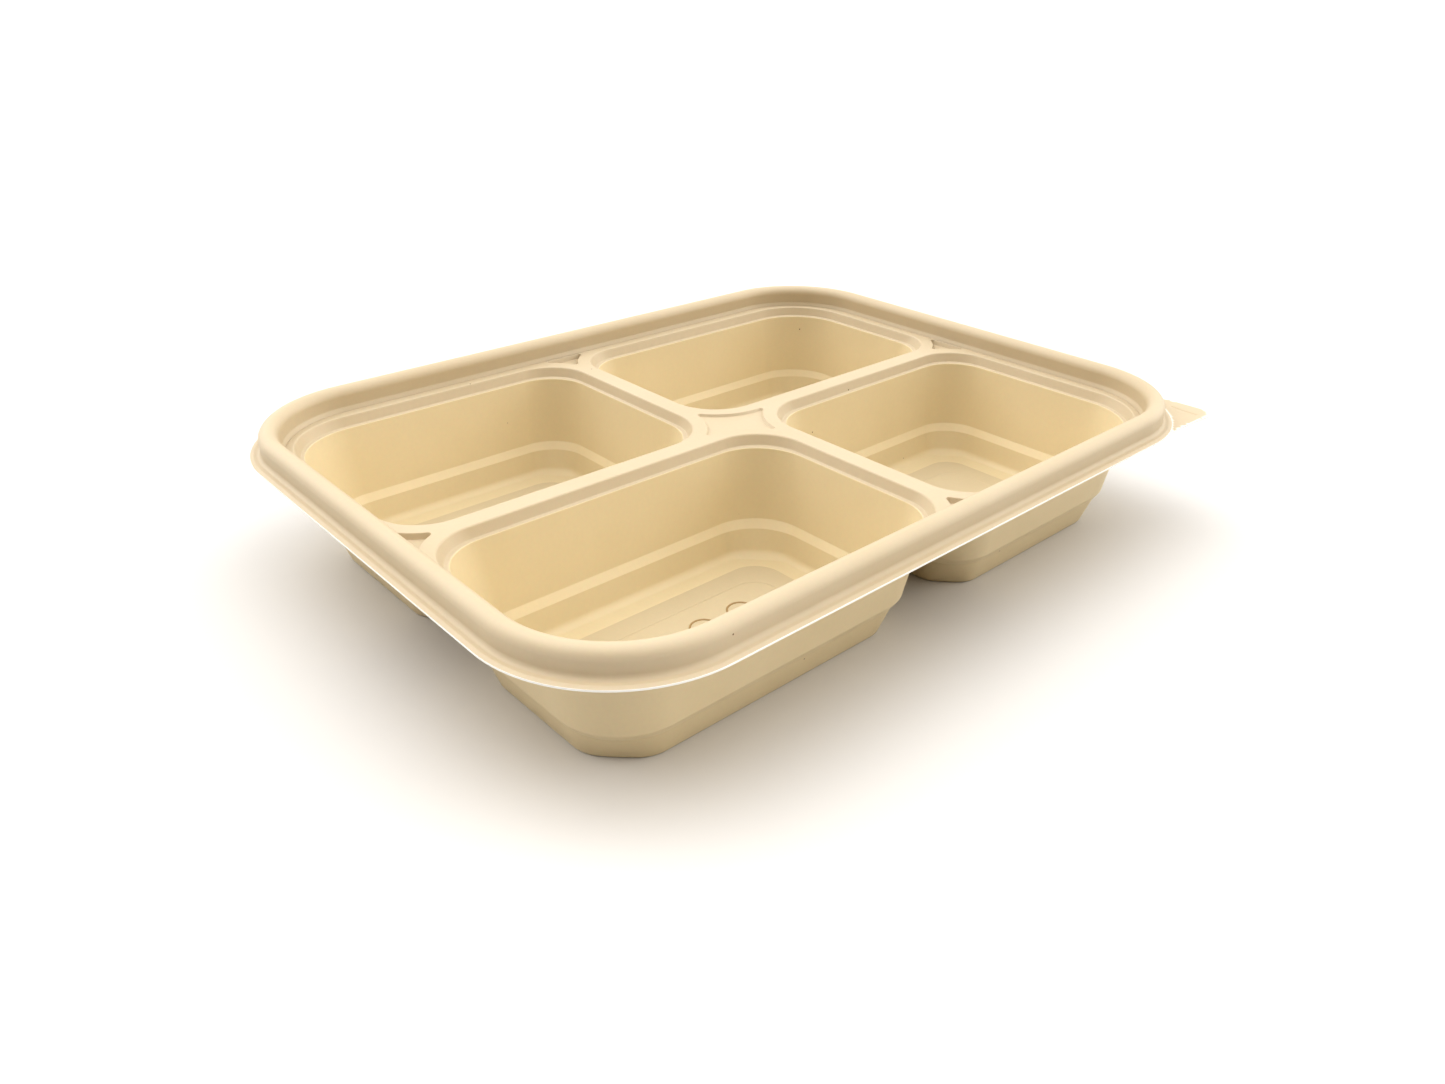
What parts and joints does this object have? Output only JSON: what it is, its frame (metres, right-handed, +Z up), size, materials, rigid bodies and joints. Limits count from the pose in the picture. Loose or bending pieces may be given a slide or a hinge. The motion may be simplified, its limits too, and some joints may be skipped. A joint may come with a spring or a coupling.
{
  "type": "compartment food tray",
  "caption": "Shallow rectangular disposable food tray with stepped rounded cups in a pinwheel layout, a beaded rim for a press-on lid and a corner pull tab.",
  "frame": {"origin": "centre of the rim's rectangle, on the plane that the cups' feet stand on", "axes": "+X along the long side, +Y along the short side, +Z up; the pull tab is at the +X, -Y corner"},
  "size_m": [0.24, 0.183, 0.042],
  "materials": {
    "rim_sheet": "matte warm cream, with a pale cut edge",
    "deck_sheet": "matte warm cream",
    "wall_sheet": "matte, slightly translucent honey cream",
    "floor_sheet": "matte warm cream with a few fine specks",
    "raised_marks": "matte warm cream, raised line"
  },
  "bodies": {
    "root": {"rim_flange": "rim_sheet", "rim_bead": "rim_sheet", "rim_crease": "rim_sheet", "pull_tab": "rim_sheet", "rim_band": "deck_sheet", "centre_web": "deck_sheet", "centre_star": "deck_sheet", "front_divider": "deck_sheet", "right_divider": "deck_sheet", "back_divider": "deck_sheet", "left_divider": "deck_sheet", "front_pocket": "deck_sheet", "right_pocket": "deck_sheet", "back_pocket": "deck_sheet", "left_pocket": "deck_sheet", "front_lip": "deck_sheet", "front_wall": "wall_sheet", "front_step": "wall_sheet", "front_base": "floor_sheet", "front_floor": "floor_sheet", "front_pad": "floor_sheet", "right_lip": "deck_sheet", "right_wall": "wall_sheet", "right_step": "wall_sheet", "right_base": "floor_sheet", "right_floor": "floor_sheet", "right_pad": "floor_sheet", "back_lip": "deck_sheet", "back_wall": "wall_sheet", "back_step": "wall_sheet", "back_base": "floor_sheet", "back_floor": "floor_sheet", "back_pad": "floor_sheet", "left_lip": "deck_sheet", "left_wall": "wall_sheet", "left_step": "wall_sheet", "left_base": "floor_sheet", "left_floor": "floor_sheet", "left_pad": "floor_sheet", "floor_marks": "raised_marks"}
  },
  "joints": []
}
